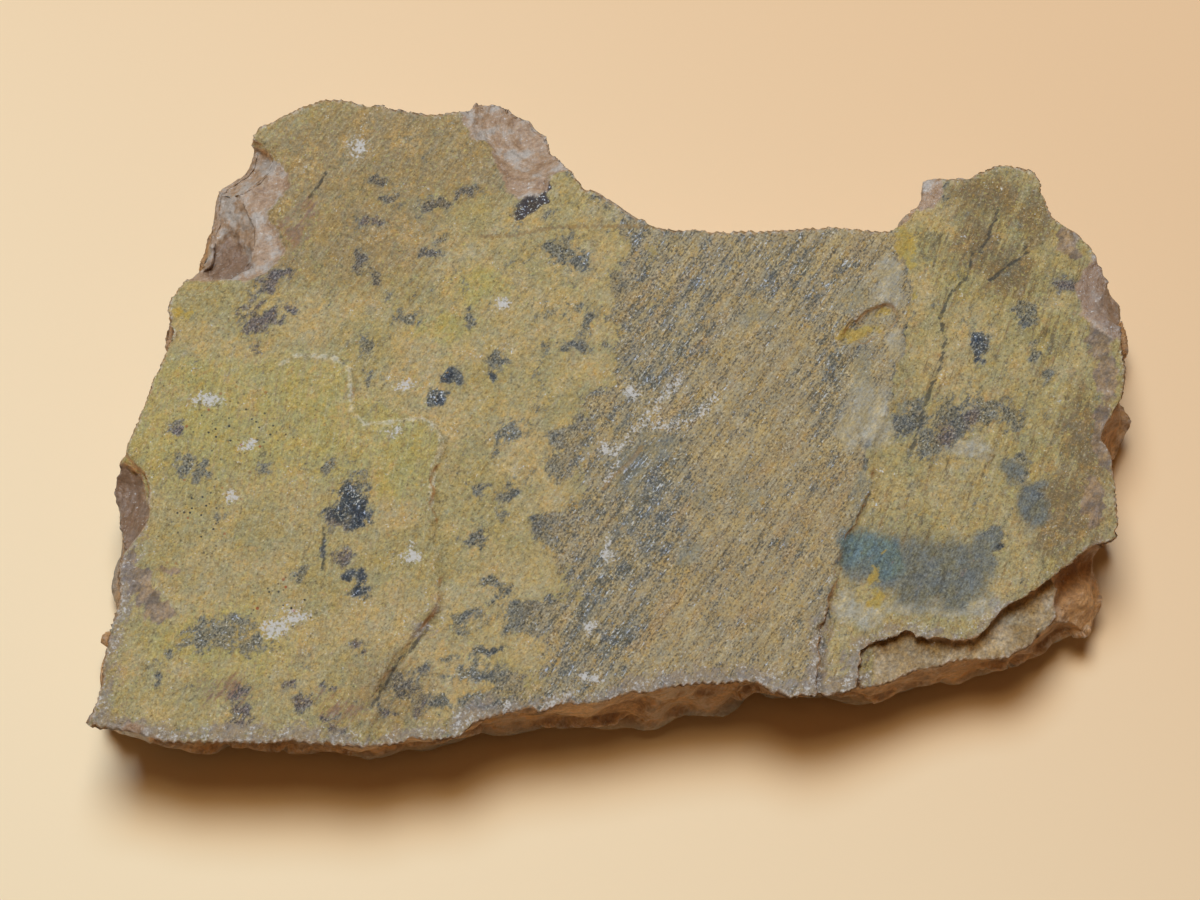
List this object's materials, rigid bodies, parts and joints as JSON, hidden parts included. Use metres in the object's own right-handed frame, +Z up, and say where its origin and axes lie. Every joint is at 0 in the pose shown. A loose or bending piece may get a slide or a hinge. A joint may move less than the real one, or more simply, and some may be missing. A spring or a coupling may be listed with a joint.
{
  "type": "broken slab of botryoidal chalcedony",
  "caption": "Flat broken slab of chalcedony with a striated, patinated upper face, shell-shaped breaks round its edges and low rounded mounds beneath.",
  "frame": {"origin": "on the resting plane, under the middle of the slab's bounding box", "axes": "+X along the slab's length, +Y across it towards the notched edge, +Z up through its thickness"},
  "size_m": [0.1218, 0.0805, 0.0158],
  "materials": {
    "stone": "olive and tan patina, thin and patchy, over blue-grey chalcedony that is waxy where freshly broken"
  },
  "bodies": {
    "root": {"chalcedony_slab": "stone"}
  },
  "joints": []
}
